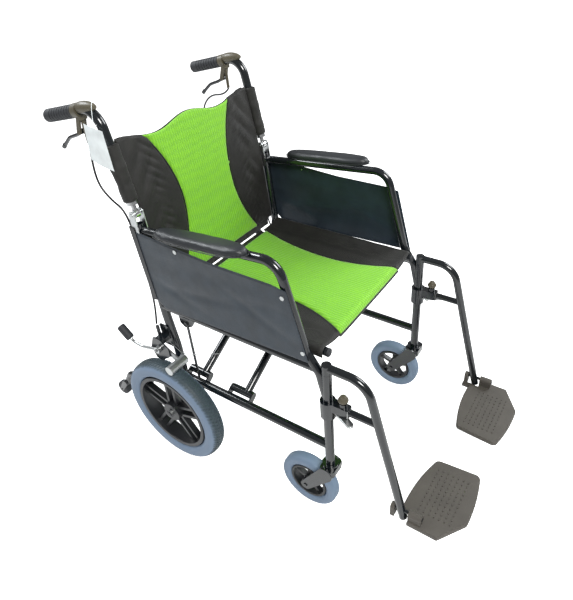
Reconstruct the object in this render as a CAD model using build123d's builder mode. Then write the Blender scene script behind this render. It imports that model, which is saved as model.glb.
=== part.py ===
from build123d import *
import math
import os

# A folding attendant-pushed transport wheelchair, in millimetres. It faces -Y, +Z is up and the floor
# is z = 0. X = 0 is the middle plane. Right-hand pieces lie at negative X and are mirrored to the left.

os.makedirs("parts", exist_ok=True)

# ---- driving dimensions ---------------------------------------------------------------------------
FRONT_POST_Y = -231.0      # the front posts; every distance along the chair is measured behind them
FRAME_X = -237.0           # centre plane of the right side frame
POST_R = 11.0              # front, rear and back posts, 22 mm tube
SIDE_R = 10.5              # lower and upper side tubes
ARM_R = 10.0               # armrest tube
WALL = 1.8                 # wall of the frame tubes
GAP = 0.2                  # space left between pieces that are bolted face to face
RUN = 0.08                 # radial clearance of a turning fit

LOWER_Z = 233.0            # lower side tube
UPPER_Z = 458.0            # upper side tube
POST_FOOT_Z = 176.0        # bottom of the front post, over the caster
POST_TOP_Z = 455.0         # top of the front post, under the hanger's sleeve
HANGER_PIN_R = 6.0
HANGER_PIN_TOP_Z = 474.0

AXLE_BACK, REAR_WHEEL_R = 449.0, 155.0
REAR_WHEEL_X = -290.0
TYRE_WIDTH = 50.0
RIM_R = 114.0
AXLE_R = 6.0
CASTER_BACK, CASTER_R = 59.0, 76.0
CASTER_RIM_R = 50.0
CASTER_WIDTH = 32.0

BACK_PIVOT = (489.0, 705.0)       # folding joint of the back posts, (behind, up)
BACK_GAP = 24.0                   # each post ends this far from the pivot
BACK_LEAN = math.radians(11.7)    # recline of the upper back posts
GRIP_R = 15.0

BRACE_FOOT = (-216.0, 247.0)      # (x, z) of the brace's lower pivot beside the lower tube
RAIL_X, RAIL_Z = 207.0, 482.0     # seat rails at the braces' upper ends
RAIL_R = 9.5
BRACE_R = 10.0
SLEEVE_R = 10.0
BRACE_PIN_R = 6.0
BRACE_PINS = ((231.0, 301.0), (372.0, 441.0))     # each pin with its two plates, from and to
PIN_PLATE = 4.0
CROSS_BOLT_R = 4.0
RIGHT_BRACE_BACK = (253.0, 394.0)    # the two tubes of the brace that starts at the right frame
LEFT_BRACE_BACK = (278.0, 419.0)

HANGER_R = 9.5
FOOT_PIN_R = 4.0
FOOT_PIN_Z = 134.0
PLATE_TOP_Z = 118.0
PLATE_THICK = 11.0


def behind(distance):
    """The y of a place that lies this far behind the front posts."""
    return FRONT_POST_Y + distance


def side(distance, z, x=FRAME_X):
    """A point in a plane of the right side, by default the side frame's own."""
    return (x, behind(distance), z)


def route(points, bends=()):
    """Straight runs through the points, joined by arcs of the radii in bends."""
    with BuildLine() as line:
        if len(points) == 2:
            Line(*points)
        else:
            FilletPolyline(*points, radius=list(bends))
    return line.wire()


def bar(points, radius, bends=(), bore=0.0):
    """A round bar along a route, or a tube if it has a bore."""
    path = route(points, bends)
    with BuildPart() as piece:
        with BuildSketch(Plane(origin=path @ 0, z_dir=path % 0)):
            Circle(radius)
            if bore:
                Circle(bore, mode=Mode.SUBTRACT)
        sweep(path=path)
    return piece.part


def disc(distance, z, radius, x_from, x_to):
    """A cylinder along X between two x values."""
    return bar([side(distance, z, x_from), side(distance, z, x_to)], radius)


def plate_plane(x):
    """A plane across the chair at x, whose sketch coordinates are (y, z)."""
    return Plane(origin=(x, 0, 0), x_dir=(0, 1, 0), z_dir=(1, 0, 0))


def plate(corners, x_from, x_to, rounding=0.0):
    """A flat plate between two x values, its outline given as (behind, up) corners."""
    low, high = min(x_from, x_to), max(x_from, x_to)
    with BuildPart() as piece:
        with BuildSketch(plate_plane(low)) as outline:
            with BuildLine():
                Polyline(*[(behind(d), z) for d, z in corners], close=True)
            make_face()
            if rounding:
                fillet(outline.vertices(), rounding)
        extrude(amount=high - low)
    return piece.part


def link(ends, x_from, x_to):
    """A flat link between two x values with a round eye at each (behind, up, radius)."""
    low, high = min(x_from, x_to), max(x_from, x_to)
    with BuildPart() as piece:
        with BuildSketch(plate_plane(low)):
            for distance, z, radius in ends:
                with Locations((behind(distance), z)):
                    Circle(radius)
            make_hull()
        extrude(amount=high - low)
    return piece.part


def write(solid, name):
    """Labels one finished piece and writes its file."""
    solid.label = name
    export_step(solid, f"parts/{name}.step")


def write_pair(solid, name):
    """Writes a right-hand piece and its mirror image on the left."""
    write(solid, f"right_{name}")
    with BuildPart() as twin:
        add(mirror(solid, about=Plane.YZ))
    write(twin.part, f"left_{name}")


# ---- side frame: posts, side tubes, armrest tube, brace pin and seat saddles, one weldment -----------
rear_post_run = [side(449, 136), side(451, 330), side(466, 425), side(487, BACK_PIVOT[1] - BACK_GAP)]
rear_post_bends = (200, 200)
arm_run = [side(486, 663), side(102, 693), side(47, 490), side(17, 447), side(4, 390)]
arm_bends = (44, 40, 40)
front_post = bar([side(0, POST_FOOT_Z), side(0, POST_TOP_Z)], POST_R)
front_core = bar([side(0, POST_FOOT_Z - 5), side(0, POST_TOP_Z - 6)], POST_R - WALL)
rear_post = bar(rear_post_run, POST_R, rear_post_bends)
rear_core = bar(rear_post_run, POST_R - WALL, rear_post_bends)
arm_tube = bar(arm_run, ARM_R, arm_bends)
arm_core = bar(arm_run, ARM_R - WALL, arm_bends)
lower_tube = bar([side(0, LOWER_Z), side(449.5, LOWER_Z)], SIDE_R)
lower_core = bar([side(0, LOWER_Z), side(449.5, LOWER_Z)], SIDE_R - WALL)
upper_tube = bar([side(25, UPPER_Z), side(470, UPPER_Z)], SIDE_R)
upper_core = bar([side(25, UPPER_Z), side(470, UPPER_Z)], SIDE_R - WALL)
hanger_pin = bar([side(0, POST_TOP_Z - 4), side(0, HANGER_PIN_TOP_Z)], HANGER_PIN_R)
brace_pins = []
pin_brackets = []
for pin_start, pin_end in BRACE_PINS:
    pin_ends = [side(pin_start + 1, BRACE_FOOT[1], BRACE_FOOT[0]), side(pin_end - 1, BRACE_FOOT[1], BRACE_FOOT[0])]
    brace_pins.append(bar(pin_ends, BRACE_PIN_R))
for bracket_start in [place for ends in BRACE_PINS for place in (ends[0], ends[1] - PIN_PLATE)]:
    with BuildPart() as bracket:
        with BuildSketch(
            Plane(origin=(0, behind(bracket_start + PIN_PLATE), 0), x_dir=(1, 0, 0), z_dir=(0, -1, 0))
        ):
            with Locations(BRACE_FOOT):
                Circle(9)
            with Locations((FRAME_X, LOWER_Z)):
                Circle(9)
            make_hull()
        extrude(amount=PIN_PLATE)
    pin_brackets.append(bracket.part)
saddles = []
for saddle_back in (80.0, 330.0):
    with BuildPart() as saddle:
        with BuildSketch(Plane(origin=(0, behind(saddle_back + 24), 0), x_dir=(1, 0, 0), z_dir=(0, -1, 0))):
            with BuildLine():
                Polyline((-231, 452), (-195, 462), (-195, 476), (-219, 476), (-231, 468), close=True)
            make_face()
            with Locations((-RAIL_X, RAIL_Z)):
                Circle(RAIL_R + 0.4, mode=Mode.SUBTRACT)
        extrude(amount=24)
    saddles.append(saddle.part)
axle_bore = disc(AXLE_BACK, REAR_WHEEL_R, AXLE_R, FRAME_X - 20, FRAME_X + 20)
with BuildPart() as side_frame:
    for tube in (front_post, rear_post, lower_tube, upper_tube, arm_tube, *pin_brackets, *saddles):
        add(tube)
    for core in (front_core, rear_core, lower_core, upper_core, arm_core, axle_bore):
        add(core, mode=Mode.SUBTRACT)
    add(hanger_pin)
    for brace_pin in brace_pins:
        add(brace_pin)
write_pair(side_frame.part, "side_frame")

# ---- stay rod from a bracket under the upper side tube to the lower side tube -----------------------
stay_run = [side(397, 430), side(394, LOWER_Z + SIDE_R + GAP)]
stay_bracket = plate([(366, 447.2), (420, 447.2), (418, 424), (404, 414), (380, 424)], FRAME_X - 2, FRAME_X + 2, 3)
stay_bar = bar(stay_run, 3.2)
with BuildPart() as stay_rod:
    add(stay_bracket)
    add(stay_bar)
    add(disc(397, 428, 5, FRAME_X - 6, FRAME_X + 6))
write_pair(stay_rod.part, "stay_rod")

# ---- soft pieces of the side: arm pad and clothing guard ---------------------------------------------
PAD_X = (-281.0, -225.0)


def arm_axis_z(distance):
    """Height of the armrest tube's axis over a place on its long straight run."""
    return 663 + (486 - distance) * 30 / 384


pad_blank = plate(
    [(162, arm_axis_z(162) + 8), (420, arm_axis_z(420) + 8), (420, arm_axis_z(420) + 21), (162, arm_axis_z(162) + 21)],
    PAD_X[0],
    PAD_X[1],
    5,
)
arm_clear = bar(arm_run, ARM_R + GAP, arm_bends)
with BuildPart() as arm_pad:
    add(pad_blank)
    add(arm_clear, mode=Mode.SUBTRACT)
write_pair(arm_pad.part, "arm_pad")

SKIRT_X = (FRAME_X - POST_R - 2.8, FRAME_X - POST_R - 0.4)
SKIRT_SCREWS = ((86.0, 623.0), (46.0, 499.0), (369.0, 646.0))
skirt_blank = plate(
    [(34, 476), (447, 463), (472, 489), (497, 632), (468, 649), (369, 656), (256, 646), (112, 646), (78, 640)],
    SKIRT_X[0],
    SKIRT_X[1],
    5,
)
with BuildPart() as skirt:
    add(skirt_blank)
    for distance, z in SKIRT_SCREWS:
        add(disc(distance, z, 2.2, SKIRT_X[0] - 1, SKIRT_X[1] + 1), mode=Mode.SUBTRACT)
write_pair(skirt.part, "skirt")

# ---- fasteners of the side frame: rear axle bolt with its collar, and the clothing guard's screws ------
HUB_X = (-264.0, -308.0)    # inner and outer faces of the rear hub
axle_shank = disc(AXLE_BACK, REAR_WHEEL_R, AXLE_R - 0.04, FRAME_X + POST_R + 4, HUB_X[1] - 6)
axle_head = disc(AXLE_BACK, REAR_WHEEL_R, 10, FRAME_X + POST_R + 0.3, FRAME_X + POST_R + 6)
axle_collar = disc(AXLE_BACK, REAR_WHEEL_R, 9, FRAME_X - POST_R - 0.3, HUB_X[0] + 0.4)
axle_nut = disc(AXLE_BACK, REAR_WHEEL_R, 9, HUB_X[1] - 0.4, HUB_X[1] - 7)
with BuildPart() as frame_fasteners:
    for bolt_piece in (axle_shank, axle_head, axle_collar, axle_nut):
        add(bolt_piece)
    for distance, z in SKIRT_SCREWS:
        add(disc(distance, z, 5, SKIRT_X[0] - 2.4, SKIRT_X[0] - 0.1))
        add(disc(distance, z, 2, SKIRT_X[0] - 1, SKIRT_X[1] + 0.2))
write_pair(frame_fasteners.part, "frame_fasteners")

# ---- rear wheel: solid tyre and spoked plastic rim ----------------------------------------------------


def wheel_plane(distance, radius, x):
    """A plane through a wheel's axis, whose sketch coordinates are (x offset, height over the axis)."""
    return Plane(origin=side(distance, radius, x), x_dir=(1, 0, 0), z_dir=(0, -1, 0))


def wheel_axis(distance, radius):
    return Axis(side(distance, radius, 0), (1, 0, 0))


def tyre(distance, radius, rim_radius, x, width, rounding):
    """A tyre of revolution standing on the floor."""
    with BuildPart() as ring:
        with BuildSketch(wheel_plane(distance, radius, x)):
            with Locations((0, (radius + rim_radius) / 2)):
                RectangleRounded(width, radius - rim_radius, rounding)
        revolve(axis=wheel_axis(distance, radius))
    return ring.part


def spoked_rim(distance, height, x, rim, hub, spokes, bore):
    """A wheel's rim, spokes and hub. rim and hub are (radius, width); rim also has a thickness."""
    rim_radius, rim_width, rim_thick = rim
    hub_radius, hub_width = hub
    count, pair_gap, spoke_width, spoke_depth = spokes
    with BuildPart() as piece:
        with BuildSketch(wheel_plane(distance, height, x)):
            with Locations((0, rim_radius - rim_thick / 2)):
                RectangleRounded(rim_width, rim_thick, 2)
            with Locations((0, (hub_radius + bore) / 2)):
                Rectangle(hub_width, hub_radius - bore)
        revolve(axis=wheel_axis(distance, height))
        spoke_start, spoke_end = hub_radius - 3, rim_radius - rim_thick + 2
        face = Plane(origin=side(distance, height, x - spoke_depth / 2), x_dir=(0, 1, 0), z_dir=(1, 0, 0))
        with BuildSketch(face):
            with PolarLocations(0, count, start_angle=90):
                with Locations(
                    ((spoke_start + spoke_end) / 2, pair_gap / 2), ((spoke_start + spoke_end) / 2, -pair_gap / 2)
                ):
                    Rectangle(spoke_end - spoke_start, spoke_width)
        extrude(amount=spoke_depth)
    return piece.part


rear_tyre = tyre(AXLE_BACK, REAR_WHEEL_R, RIM_R, REAR_WHEEL_X, TYRE_WIDTH, 16)
write_pair(rear_tyre, "rear_tyre")
rear_rim = spoked_rim(
    AXLE_BACK,
    REAR_WHEEL_R,
    REAR_WHEEL_X,
    rim=(RIM_R - 0.2, 42, 11),
    hub=(27, 0.001),
    spokes=(5, 26, 8, 16),
    bore=AXLE_R + RUN,
)
hub_barrel = disc(AXLE_BACK, REAR_WHEEL_R, 27, HUB_X[0], HUB_X[1])
hub_bore = disc(AXLE_BACK, REAR_WHEEL_R, AXLE_R + RUN, HUB_X[0] + 1, HUB_X[1] - 1)
with BuildPart() as rear_wheel_rim:
    add(rear_rim)
    add(hub_barrel)
    add(hub_bore, mode=Mode.SUBTRACT)
write_pair(rear_wheel_rim.part, "rear_rim")

# ---- caster: swivelling fork with its axle, tyre and rim ---------------------------------------------
FORK_INNER, FORK_LEG = 19.5, 6.0
CASTER_AXLE_R = 5.0
fork_stem = bar([side(0, 160), side(0, 226)], POST_R - WALL - 0.3)
fork_neck = bar([side(0, 160), side(0, POST_FOOT_Z - 1.2)], 19)
fork_legs = []
for x_near in (FRAME_X + FORK_INNER, FRAME_X - FORK_INNER - FORK_LEG):
    fork_legs.append(link([(2, 152, 19), (CASTER_BACK, CASTER_R, 13)], x_near, x_near + FORK_LEG))
crown_half = FORK_INNER + FORK_LEG
with BuildPart() as fork_crown:
    with BuildSketch(Plane.XY.offset(150)):
        with Locations((FRAME_X, behind(-1))):
            RectangleRounded(2 * crown_half, 38, 12)
    extrude(amount=18)
caster_axle = disc(CASTER_BACK, CASTER_R, CASTER_AXLE_R, FRAME_X - 28, FRAME_X + 28)
with BuildPart() as caster_fork:
    for fork_piece in (fork_stem, fork_neck, fork_crown.part, *fork_legs, caster_axle):
        add(fork_piece)
write_pair(caster_fork.part, "caster_fork")
caster_tyre = tyre(CASTER_BACK, CASTER_R, CASTER_RIM_R, FRAME_X, CASTER_WIDTH, 10)
write_pair(caster_tyre, "caster_tyre")
caster_rim = spoked_rim(
    CASTER_BACK,
    CASTER_R,
    FRAME_X,
    rim=(CASTER_RIM_R - 0.2, 26, 7),
    hub=(14, 38),
    spokes=(5, 0.001, 9, 12),
    bore=CASTER_AXLE_R + RUN,
)
write_pair(caster_rim, "caster_rim")

# ---- folding back: hinge brackets, back post, push grip -----------------------------------------------
PIVOT_BACK, PIVOT_Z = BACK_PIVOT
CHEEK_X = (POST_R + 0.4, POST_R + 2.8)
cheeks = []
for direction in (1, -1):
    cheeks.append(
        link(
            [(PIVOT_BACK, PIVOT_Z, 10), (PIVOT_BACK - 4.2, PIVOT_Z - 50, 10)],
            FRAME_X + direction * CHEEK_X[0],
            FRAME_X + direction * CHEEK_X[1],
        )
    )
cheek_web = plate(
    [
        (PIVOT_BACK + 6.4, PIVOT_Z - 30),
        (PIVOT_BACK + 9, PIVOT_Z - 30),
        (PIVOT_BACK + 6.4, PIVOT_Z - 58),
        (PIVOT_BACK + 3.8, PIVOT_Z - 58),
    ],
    FRAME_X - CHEEK_X[1],
    FRAME_X + CHEEK_X[1],
)
pivot_bolt = disc(PIVOT_BACK, PIVOT_Z, 4, FRAME_X - CHEEK_X[1] - 2, FRAME_X + CHEEK_X[1] + 1)
rear_post_clear = bar(rear_post_run, POST_R + GAP, rear_post_bends)
with BuildPart() as hinge_lower:
    for hinge_piece in (*cheeks, cheek_web, pivot_bolt):
        add(hinge_piece)
    add(rear_post_clear, mode=Mode.SUBTRACT)
write_pair(hinge_lower.part, "hinge_lower")


def on_back(distance):
    """A point on the upper back post's axis, this far above the folding pivot."""
    return side(PIVOT_BACK + distance * math.sin(BACK_LEAN), PIVOT_Z + distance * math.cos(BACK_LEAN))


HANDLE_CORNER = on_back(238)
HANDLE_END = side(706, 900)
handle_run = [on_back(BACK_GAP), HANDLE_CORNER, HANDLE_END]
HANDLE_BEND = 46
tongue_eye = disc(PIVOT_BACK, PIVOT_Z, 9.5, FRAME_X - 6, FRAME_X + 6)
tongue_web = bar([on_back(0), on_back(BACK_GAP)], 6)
tongue_collar = bar([on_back(BACK_GAP - 2), on_back(BACK_GAP + 20)], POST_R + 2)
tongue_plug = bar([on_back(BACK_GAP - 2), on_back(BACK_GAP + 20)], POST_R - WALL - GAP)
tongue_bore = disc(PIVOT_BACK, PIVOT_Z, 4 + RUN, FRAME_X - 10, FRAME_X + 10)
tube_clear = bar(handle_run, POST_R + GAP, (HANDLE_BEND,))
with BuildPart() as hinge_upper:
    add(tongue_collar)
    add(tube_clear, mode=Mode.SUBTRACT)
    add(tongue_plug)
    add(tongue_web)
    add(tongue_eye)
    add(tongue_bore, mode=Mode.SUBTRACT)
write_pair(hinge_upper.part, "hinge_upper")

back_post = bar(handle_run, POST_R, (HANDLE_BEND,), bore=POST_R - WALL)
write_pair(back_post, "back_post")

handle_end, handle_corner = Vector(*HANDLE_END), Vector(*HANDLE_CORNER)
handle_way = (handle_end - handle_corner).normalized()


def on_handle(distance):
    """A point on the handle's axis, this far before the end of its tube."""
    return tuple(handle_end - handle_way * distance)


grip_body = bar([on_handle(99.5), on_handle(-4)], GRIP_R)
grip_grooves = [bar([on_handle(s + 1.5), on_handle(s - 1.5)], GRIP_R + 1, bore=GRIP_R - 1) for s in range(20, 91, 10)]
handle_clear = bar([on_handle(101.5), on_handle(-0.2)], POST_R + 0.1)
with BuildPart() as push_grip:
    add(grip_body)
    for groove in grip_grooves:
        add(groove, mode=Mode.SUBTRACT)
    add(handle_clear, mode=Mode.SUBTRACT)
write_pair(push_grip.part, "push_grip")

# ---- attendant brake lever, its mount on the handle, and its cable -------------------------------------
LEVER_PIVOT = (604.0, 878.0)
mount_ring = bar([on_handle(119.5), on_handle(102.5)], GRIP_R + 1, bore=POST_R + 0.1)
mount_arms = [
    link([(593.5, 912.5, 5), (*LEVER_PIVOT, 6)], FRAME_X + x_low, FRAME_X + x_low + 4) for x_low in (5.6, -9.6)
]
mount_bridge = plate([(585.5, 906), (598.5, 906), (598.5, 911), (585.5, 914)], FRAME_X - 9.6, FRAME_X + 9.6)
mount_pin = disc(*LEVER_PIVOT, 2.5, FRAME_X - 11, FRAME_X + 11)
cable_socket = bar([side(592.5, 908), side(591, 853)], 4)
ring_bore = bar([on_handle(123.5), on_handle(98.5)], POST_R + 0.1)
with BuildPart() as brake_mount:
    add(mount_ring)
    add(mount_bridge)
    for mount_arm in mount_arms:
        add(mount_arm)
    add(mount_pin)
    add(cable_socket)
    add(ring_bore, mode=Mode.SUBTRACT)
write_pair(brake_mount.part, "brake_mount")

lever_eye = disc(*LEVER_PIVOT, 6, FRAME_X - 5.2, FRAME_X + 5.2)
lever_run = [side(*LEVER_PIVOT), side(625, 867), side(657, 856), side(686, 832)]
lever_bar = bar(lever_run, 4.2, (40, 40))
lever_ball = bar([side(682, 836), side(689, 829)], 5.2)
lever_bore = disc(*LEVER_PIVOT, 2.5 + RUN, FRAME_X - 8, FRAME_X + 8)
with BuildPart() as hand_lever:
    for lever_piece in (lever_eye, lever_bar, lever_ball):
        add(lever_piece)
    add(lever_bore, mode=Mode.SUBTRACT)
write_pair(hand_lever.part, "hand_lever")

# Each housing leaves the lever mount, hangs in a loop, returns to the rear post and runs down it to the
# parking brake. The right loop hangs close to its post and the left one swings out behind the back.
near_loop = [side(591, 851), side(600, 804), side(600, 752), side(566, 722), side(527, 704)]
far_loop = [side(591, 851), side(606, 832), side(664, 826), side(702, 782), side(690, 726), side(620, 690)]
post_run = [
    side(512, 640),
    side(508, 560),
    side(502, 492),
    side(496, 440, FRAME_X - 6),
    side(488, 404, FRAME_X - 20),
]
CABLE_R = 2.5


def widest_bends(points):
    """For each corner, the widest arc that leaves room for its neighbours' arcs on the runs beside it."""
    runs = [Vector(*after) - Vector(*before) for before, after in zip(points, points[1:])]
    room = [0.47 * run.length for run in runs]
    room[0] *= 2
    room[-1] *= 2
    radii = []
    for index, (run_in, run_out) in enumerate(zip(runs, runs[1:])):
        half_turn = math.radians(run_in.get_angle(run_out) / 2)
        radii.append(min(room[index], room[index + 1]) / math.tan(half_turn))
    return radii


def brake_cable(loop):
    """A brake cable: its housing along the loop and the post, and the bare wire past the shoe's lug."""
    points = [*loop, *post_run]
    bends = widest_bends(points)
    housing = bar(points, CABLE_R, bends)
    length = route(points, bends).length
    print("cable bends", [round(radius) for radius in bends], "length", round(length))
    print("volume over section", round(housing.volume / math.pi / CABLE_R**2))
    wire_x = FRAME_X - 22.9
    bare_wire = bar([side(451, 364, wire_x), side(409, 342, wire_x), side(327, 344, FRAME_X + 22)], 0.9, (30,))
    with BuildPart() as cable:
        add(housing)
        add(bare_wire)
    return cable.part


write(brake_cable(near_loop), "right_brake_cable")
write(mirror(brake_cable(far_loop), about=Plane.YZ), "left_brake_cable")

# ---- parking brake over the rear tyre: bracket, lever with grip, shoe ---------------------------------
LEVER_AXIS = (462.0, 356.0)
SHOE_AXIS = (440.0, 352.0)
SHOE = (402.0, 333.0)
BRACKET_X = (-284.5, -281.0)
mount_plate = plate([(446, 342), (478, 342), (486, 404), (456, 404)], FRAME_X - POST_R - 4, FRAME_X - POST_R - 0.4, 5)
mount_slots = [
    plate([(d, z), (d + 5, z), (d + 8, z + 17), (d + 3, z + 17)], FRAME_X - 20, FRAME_X - 8, 2)
    for d, z in ((472, 350), (475, 378))
]
bracket_bridge = plate([(452, 366), (478, 366), (480, 380), (454, 380)], FRAME_X - POST_R - 4, BRACKET_X[0], 3)
outer_plate = plate([(430, 366), (456, 384), (480, 384), (494, 348), (482, 318), (462, 316), (430, 340)], *BRACKET_X, 5)
plate_holes = [disc(d, z, 2.6, BRACKET_X[0] - 2, BRACKET_X[1] + 2) for d, z in ((482, 344), (476, 328))]
lever_pin = disc(*LEVER_AXIS, 4, BRACKET_X[1], BRACKET_X[0] - 12)
shoe_pin = disc(*SHOE_AXIS, 4, BRACKET_X[0], BRACKET_X[1] + 7)
cable_stop = bar([side(486.5, 400.5, FRAME_X - 21), side(480, 374, FRAME_X - 24)], 4.5)
with BuildPart() as parking_bracket:
    for bracket_piece in (mount_plate, bracket_bridge, outer_plate, lever_pin, shoe_pin, cable_stop):
        add(bracket_piece)
    for hole in (*mount_slots, *plate_holes):
        add(hole, mode=Mode.SUBTRACT)
write_pair(parking_bracket.part, "parking_bracket")

ROD_X = BRACKET_X[0] - 5.5
rod_run = [side(*LEVER_AXIS, ROD_X), side(522, 340, ROD_X), side(556, 344, ROD_X), side(590, 374, ROD_X)]
lever_hub = disc(*LEVER_AXIS, 9, BRACKET_X[0] - 0.5, BRACKET_X[0] - 10.5)
lever_rod = bar(rod_run, 4, (40, 26))
hub_hole = disc(*LEVER_AXIS, 4 + RUN, BRACKET_X[0] + 2, BRACKET_X[0] - 14)
with BuildPart() as parking_lever:
    add(lever_hub)
    add(lever_rod)
    add(hub_hole, mode=Mode.SUBTRACT)
write_pair(parking_lever.part, "parking_lever")

knob_from, knob_to = side(563, 350.2, ROD_X), side(595, 378.4, ROD_X)
with BuildPart() as parking_grip:
    add(bar([knob_from, knob_to], 11))
    fillet(parking_grip.edges().filter_by(GeomType.CIRCLE), 4)
    add(bar(rod_run, 4.05, (40, 26)), mode=Mode.SUBTRACT)
write_pair(parking_grip.part, "parking_grip")

shoe_arm = link([(*SHOE_AXIS, 9), (*SHOE, 8)], BRACKET_X[1] + 0.5, BRACKET_X[1] + 4.5)
shoe_roll = disc(*SHOE, 12, -318, -262)
shoe_lug = link([(*SHOE, 8), (409, 341, 4)], -266, -262)
shoe_hole = disc(*SHOE_AXIS, 4 + RUN, BRACKET_X[0], BRACKET_X[1] + 9)
with BuildPart() as parking_shoe:
    for shoe_piece in (shoe_arm, shoe_roll, shoe_lug):
        add(shoe_piece)
    add(shoe_hole, mode=Mode.SUBTRACT)
write_pair(parking_shoe.part, "parking_shoe")

# ---- anti-tip arm and its small wheel ---------------------------------------------------------------
TIP_BACK, TIP_WHEEL_R = 752.5, 22.0
TIP_Z = 35.0
tip_run = [side(450, 206), side(600, 150), side(704, 112), side(729, 70)]
tip_tube = bar(tip_run, 9, (200, 24), bore=7.4)
tip_block = disc(729, 69, 9.6, FRAME_X - 13.5, FRAME_X + 13.5)
tip_ears = [
    link([(729, 69, 9.6), (TIP_BACK, TIP_Z, 7)], FRAME_X + x_low, FRAME_X + x_low + 2.8) for x_low in (10.7, -13.5)
]
tip_axle = disc(TIP_BACK, TIP_Z, 3, FRAME_X - 15, FRAME_X + 15)
with BuildPart() as anti_tip_arm:
    add(tip_tube)
    add(rear_post_clear, mode=Mode.SUBTRACT)
    add(tip_block)
    for ear in tip_ears:
        add(ear)
    add(tip_axle)
write_pair(anti_tip_arm.part, "anti_tip_arm")
tip_tyre = disc(TIP_BACK, TIP_Z, TIP_WHEEL_R, FRAME_X - 10, FRAME_X + 10)
tip_bore = disc(TIP_BACK, TIP_Z, 3 + RUN, FRAME_X - 12, FRAME_X + 12)
with BuildPart() as anti_tip_wheel:
    add(tip_tyre)
    fillet(anti_tip_wheel.edges().filter_by(GeomType.CIRCLE), 4)
    add(tip_bore, mode=Mode.SUBTRACT)
write_pair(anti_tip_wheel.part, "anti_tip_wheel")

# ---- swing-away hanger: bent tube with crossbar and pin, clamp, latch lever, release knob ----------------
hanger_run = [side(0, 470), side(-92, 470), side(-186, 112)]
CROSSBAR_Z = 368.0
KNOB_BACK = -38.0
LATCH_BACK = -27.0
hanger_tube_bar = bar(hanger_run, HANGER_R, (53,))
hanger_core = bar([side(-14, 470), *hanger_run[1:]], HANGER_R - WALL, (53,))
hanger_sleeve = bar([side(0, POST_TOP_Z + 0.4), side(0, HANGER_PIN_TOP_Z + 4)], POST_R)
sleeve_bore = bar([side(0, POST_TOP_Z - 1), side(0, HANGER_PIN_TOP_Z + 1)], HANGER_PIN_R + RUN)
crossbar = bar([side(-16, CROSSBAR_Z), side(-119, CROSSBAR_Z)], 8)
foot_pin = bar([side(-156, FOOT_PIN_Z), side(-231, FOOT_PIN_Z)], FOOT_PIN_R)
with BuildPart() as hanger_tube:
    for hanger_piece in (hanger_tube_bar, crossbar, hanger_sleeve):
        add(hanger_piece)
    add(hanger_core, mode=Mode.SUBTRACT)
    add(sleeve_bore, mode=Mode.SUBTRACT)
    add(foot_pin)
write_pair(hanger_tube.part, "hanger_tube")

clamp_ring = bar([side(0, 332), side(0, 378)], 17.5)
with BuildPart() as clamp_block:
    with BuildSketch(Plane.XY.offset(357)):
        with Locations((FRAME_X, behind(-30))):
            RectangleRounded(21, 48, 5)
    extrude(amount=22)
knob_boss = bar([side(KNOB_BACK, 376), side(KNOB_BACK, 389)], 8.5)
latch_pin = bar([side(LATCH_BACK, 358), side(LATCH_BACK, 346)], 3)
latch_pin_head = bar([side(LATCH_BACK, 347.6), side(LATCH_BACK, 345)], 5.5)
clamp_bore = bar([side(0, 330), side(0, 380)], POST_R + 0.35)
crossbar_clear = bar([side(-15.8, CROSSBAR_Z), side(-119, CROSSBAR_Z)], 8 + GAP)
knob_bore = bar([side(KNOB_BACK, CROSSBAR_Z + 8.4), side(KNOB_BACK, 391)], 4 + RUN)
with BuildPart() as hanger_clamp:
    for clamp_piece in (clamp_ring, clamp_block.part, knob_boss, latch_pin, latch_pin_head):
        add(clamp_piece)
    for hollow in (clamp_bore, crossbar_clear, knob_bore):
        add(hollow, mode=Mode.SUBTRACT)
write_pair(hanger_clamp.part, "hanger_clamp")

with BuildPart() as hanger_latch:
    with BuildSketch(Plane.XY.offset(349)):
        with Locations((FRAME_X, behind(LATCH_BACK))):
            Circle(9.5)
        with Locations((FRAME_X - 17, behind(-62))):
            Circle(8)
        make_hull()
    extrude(amount=6)
    fillet(hanger_latch.faces().filter_by(Axis.Z).edges(), 1.5)
    add(bar([side(LATCH_BACK, 340), side(LATCH_BACK, 360)], 3 + RUN), mode=Mode.SUBTRACT)
write_pair(hanger_latch.part, "hanger_latch")

KNOB_Z = 391.0
with BuildPart() as hanger_knob:
    with BuildSketch(Plane(origin=side(KNOB_BACK, KNOB_Z), x_dir=(1, 0, 0), z_dir=(0, -1, 0))):
        with BuildLine():
            Polyline((0, -13), (4, -13), (4, 0), (9, 1))
            Spline((9, 1), (11.5, 7), (8, 14), (0, 17), tangents=((0.6, 1), (-1, 0)))
            Line((0, 17), (0, -13))
        make_face()
    revolve(axis=Axis(side(KNOB_BACK, 0), (0, 0, 1)))
write_pair(hanger_knob.part, "hanger_knob")

# ---- footplate on its pin --------------------------------------------------------------------------
PLATE_INNER, PLATE_OUTER = -56.0, -250.0
KNUCKLES = ((-157.0, -166.5), (-199.0, -229.0))
TREAD_STEP = 12.0
with BuildPart() as footplate:
    with BuildSketch(Plane.XY.offset(PLATE_TOP_Z - PLATE_THICK)) as outline:
        with BuildLine():
            inner_back = (PLATE_INNER - 6, behind(-196))
            inner_front = (PLATE_INNER + 2, behind(-298))
            ThreePointArc((-224, behind(-176)), (-140, behind(-178)), inner_back)
            Line(inner_back, inner_front)
            ThreePointArc(inner_front, (-118, behind(-310)), (-186, behind(-312)))
            Polyline(
                (-186, behind(-312)),
                (PLATE_OUTER, behind(-268)),
                (PLATE_OUTER, behind(-198.5)),
                (-224, behind(-198.5)),
                (-224, behind(-176)),
            )
        make_face()
        fillet(outline.vertices().group_by(Axis.Y)[0], 14)
        fillet(outline.vertices().sort_by(Axis.X)[-2:], 13)
    extrude(amount=PLATE_THICK)
    fillet(footplate.faces().sort_by(Axis.Z)[-1].edges(), 2.5)
plate_body = footplate.part
knuckle_parts = []
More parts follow.
